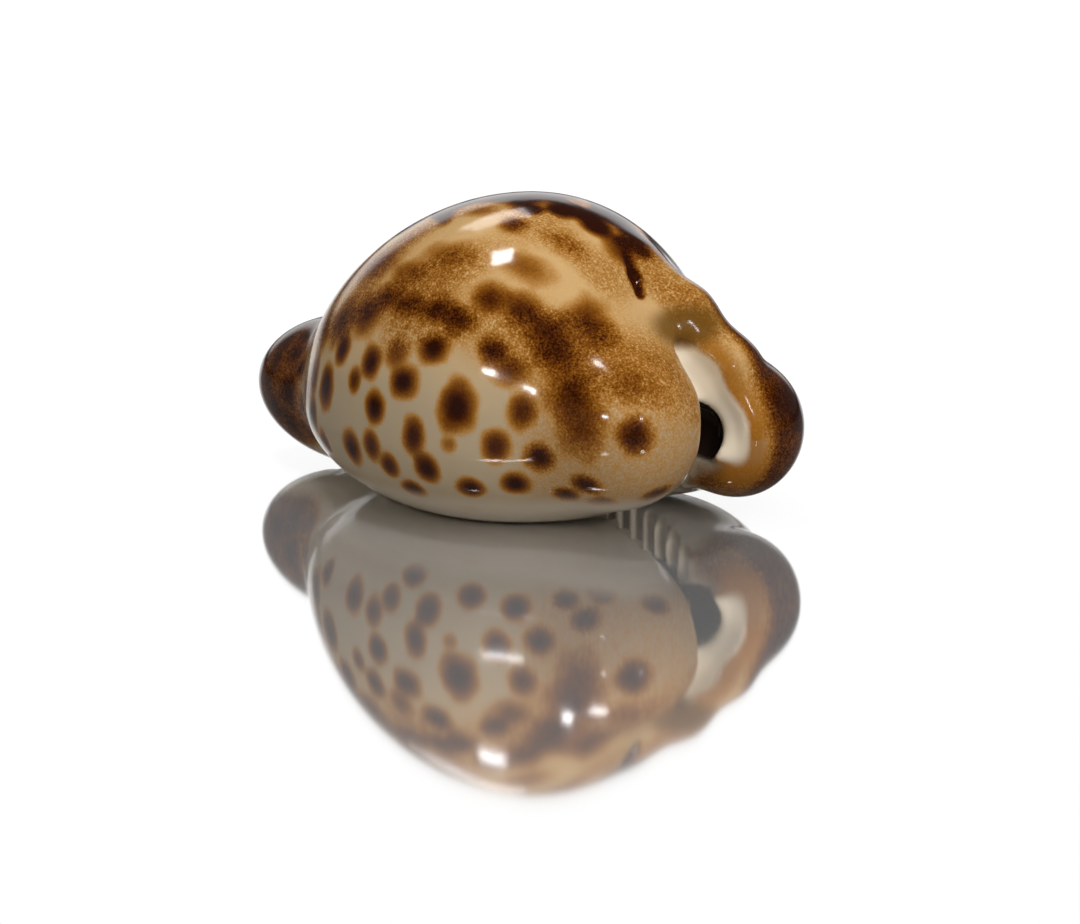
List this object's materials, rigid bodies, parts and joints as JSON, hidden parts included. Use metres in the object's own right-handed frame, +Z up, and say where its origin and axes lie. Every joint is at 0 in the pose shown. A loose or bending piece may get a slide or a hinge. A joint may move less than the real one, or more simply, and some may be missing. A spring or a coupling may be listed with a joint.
{
  "type": "cowrie shell",
  "caption": "Glossy spotted egg-shaped sea shell, hollow, lying on its flat toothed base with a beak in front and a notch behind.",
  "frame": {"origin": "middle of the shell's outline seen from above, on the plane its base rests on", "axes": "+X towards the notched posterior end, +Y towards the outer lip, +Z up through the dome"},
  "size_m": [0.0818, 0.0524, 0.0409],
  "materials": {
    "enamel": "gloss"
  },
  "bodies": {
    "root": {"shell": "enamel"}
  },
  "joints": []
}
